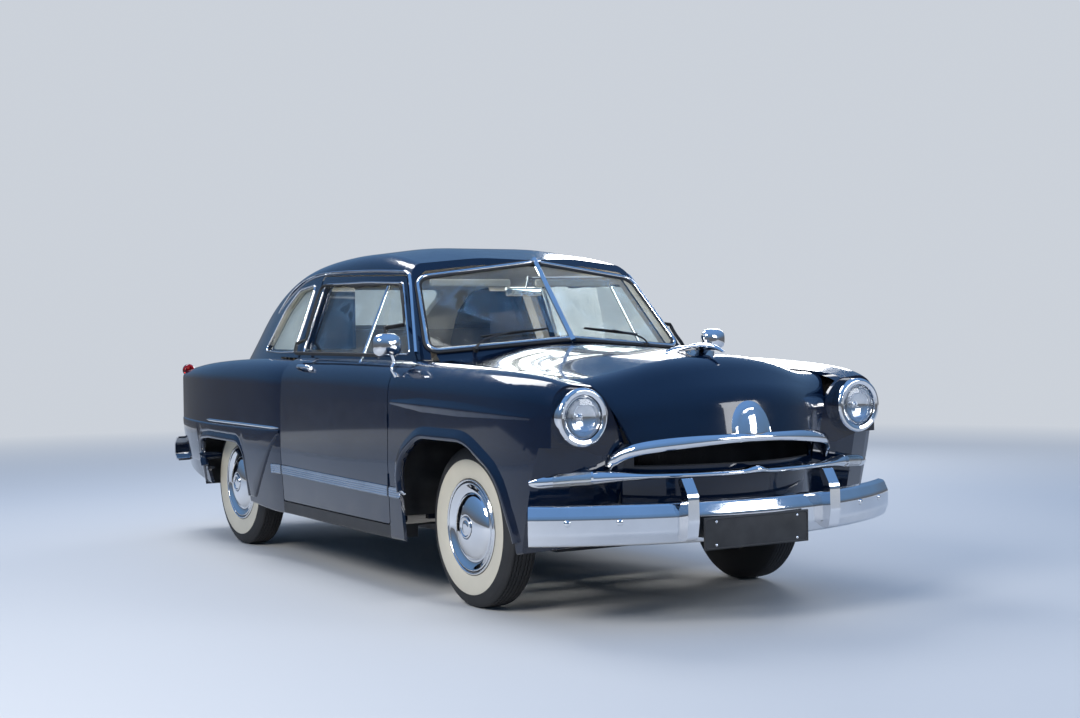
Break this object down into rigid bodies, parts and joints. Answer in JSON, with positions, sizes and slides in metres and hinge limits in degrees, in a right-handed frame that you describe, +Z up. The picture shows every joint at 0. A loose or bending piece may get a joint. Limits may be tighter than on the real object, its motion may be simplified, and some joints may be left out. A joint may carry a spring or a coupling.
{
  "type": "two-door fastback sedan car",
  "caption": "Compact two-door fastback sedan of the early 1950s with opening doors, hood and trunk lid, coupled steering and free-turning wheels.",
  "frame": {"origin": "on the ground, midway between the bumpers and between the sides", "axes": "+X forward, +Y to the car's left, +Z up"},
  "size_m": [4.5495, 1.8738, 1.552],
  "materials": {
    "paint": "glossy dark blue",
    "chrome": "bright",
    "glass": "clear",
    "lens_clear": "clear, ribbed",
    "lens_red": "glossy",
    "tyre": "black with a pale sidewall",
    "black_paint": "satin black",
    "iron": "painted",
    "steel": "dull",
    "interior": "satin",
    "ivory": "glossy",
    "cloth": "woven",
    "black_rubber": "matt"
  },
  "bodies": {
    "body": {"cowl": "paint", "dashboard": "interior", "driveshaft": "black_paint", "engine": "iron", "exhaust": "steel", "fixed_glass": "glass", "floor": "black_paint", "frame": "black_paint", "front_bench": "cloth", "front_bumper": "chrome", "front_fender_left": "paint", "front_fender_right": "paint", "front_panel": "paint", "front_suspension": "black_paint", "fuel_tank": "black_paint", "grille": "black_paint", "grille_bars": "chrome", "headlamp_rings": "chrome", "headlamps": "lens_clear", "inner_aprons": "black_paint", "mirrors": "chrome", "number_plate": "black_paint", "parcel_shelf": "interior", "parking_lamps": "lens_clear", "quarter_left": "paint", "quarter_right": "paint", "radiator": "black_paint", "rear_bench": "cloth", "rear_bumper": "chrome", "rear_suspension": "black_paint", "roof": "paint", "steering_column": "interior", "tail_lamps": "lens_red", "tail_panel": "paint", "wheelhouses": "black_paint", "windscreen": "glass", "windscreen_frame": "chrome", "wipers": "black_rubber"},
    "door_left": {"door_left": "paint", "door_glass_left": "glass"},
    "door_right": {"door_right": "paint", "door_glass_right": "glass"},
    "hood": {"hood": "paint", "hood_trim": "chrome"},
    "trunk_lid": {"trunk_lid": "paint"},
    "steering_wheel": {"steering_wheel": "ivory"},
    "knuckle_left": {"knuckle_left": "iron"},
    "knuckle_right": {"knuckle_right": "iron"},
    "tie_rod": {"tie_rod": "steel"},
    "front_wheel_left": {"front_wheel_left": "chrome", "front_tyre_left": "tyre"},
    "front_wheel_right": {"front_wheel_right": "chrome", "front_tyre_right": "tyre"},
    "rear_wheel_left": {"rear_wheel_left": "chrome", "rear_tyre_left": "tyre"},
    "rear_wheel_right": {"rear_wheel_right": "chrome", "rear_tyre_right": "tyre"}
  },
  "joints": [
    {"name": "door_left_hinge", "type": "hinge", "parent": "body", "child": "door_left", "pos_m": [0.778, 0.886, 0.65], "axis": [0, 0, -1], "range_deg": [0, 65]},
    {"name": "door_right_hinge", "type": "hinge", "parent": "body", "child": "door_right", "pos_m": [0.778, -0.886, 0.65], "axis": [0, 0, 1], "range_deg": [0, 65]},
    {"name": "hood_hinge", "type": "hinge", "parent": "body", "child": "hood", "pos_m": [0.957, 0, 1.085], "axis": [0, -1, 0], "range_deg": [0, 50]},
    {"name": "trunk_lid_hinge", "type": "hinge", "parent": "body", "child": "trunk_lid", "pos_m": [-1.719, 0, 1.107], "axis": [0, 1, 0], "range_deg": [0, 60]},
    {"name": "steering", "type": "hinge", "parent": "body", "child": "steering_wheel", "pos_m": [0.385, 0.36, 0.905], "axis": [-0.8829, 0, 0.4695], "range_deg": [-480, 480]},
    {"name": "kingpin_left", "type": "hinge", "parent": "body", "child": "knuckle_left", "pos_m": [1.27, 0.615, 0.335], "axis": [0, 0, 1], "range_deg": [-32.5, 32.5]},
    {"name": "kingpin_right", "type": "hinge", "parent": "body", "child": "knuckle_right", "pos_m": [1.27, -0.615, 0.335], "axis": [0, 0, 1], "range_deg": [-32.5, 32.5]},
    {"name": "tie_rod_slide", "type": "slide", "parent": "body", "child": "tie_rod", "axis": [0, 1, 0], "range_m": [-0.08, 0.08]},
    {"name": "front_wheel_spin_left", "type": "hinge", "parent": "knuckle_left", "child": "front_wheel_left", "pos_m": [1.27, 0.686, 0.335], "axis": [0, 1, 0], "continuous": true},
    {"name": "rear_wheel_spin_left", "type": "hinge", "parent": "body", "child": "rear_wheel_left", "pos_m": [-1.27, 0.686, 0.335], "axis": [0, 1, 0], "continuous": true},
    {"name": "front_wheel_spin_right", "type": "hinge", "parent": "knuckle_right", "child": "front_wheel_right", "pos_m": [1.27, -0.686, 0.335], "axis": [0, 1, 0], "continuous": true},
    {"name": "rear_wheel_spin_right", "type": "hinge", "parent": "body", "child": "rear_wheel_right", "pos_m": [-1.27, -0.686, 0.335], "axis": [0, 1, 0], "continuous": true}
  ],
  "couplings": [
    {"joint": "kingpin_left", "follows": "steering", "ratio": 0.066667},
    {"joint": "kingpin_right", "follows": "steering", "ratio": 0.066667},
    {"joint": "tie_rod_slide", "follows": "steering", "m_per_rad": -0.0094882}
  ]
}
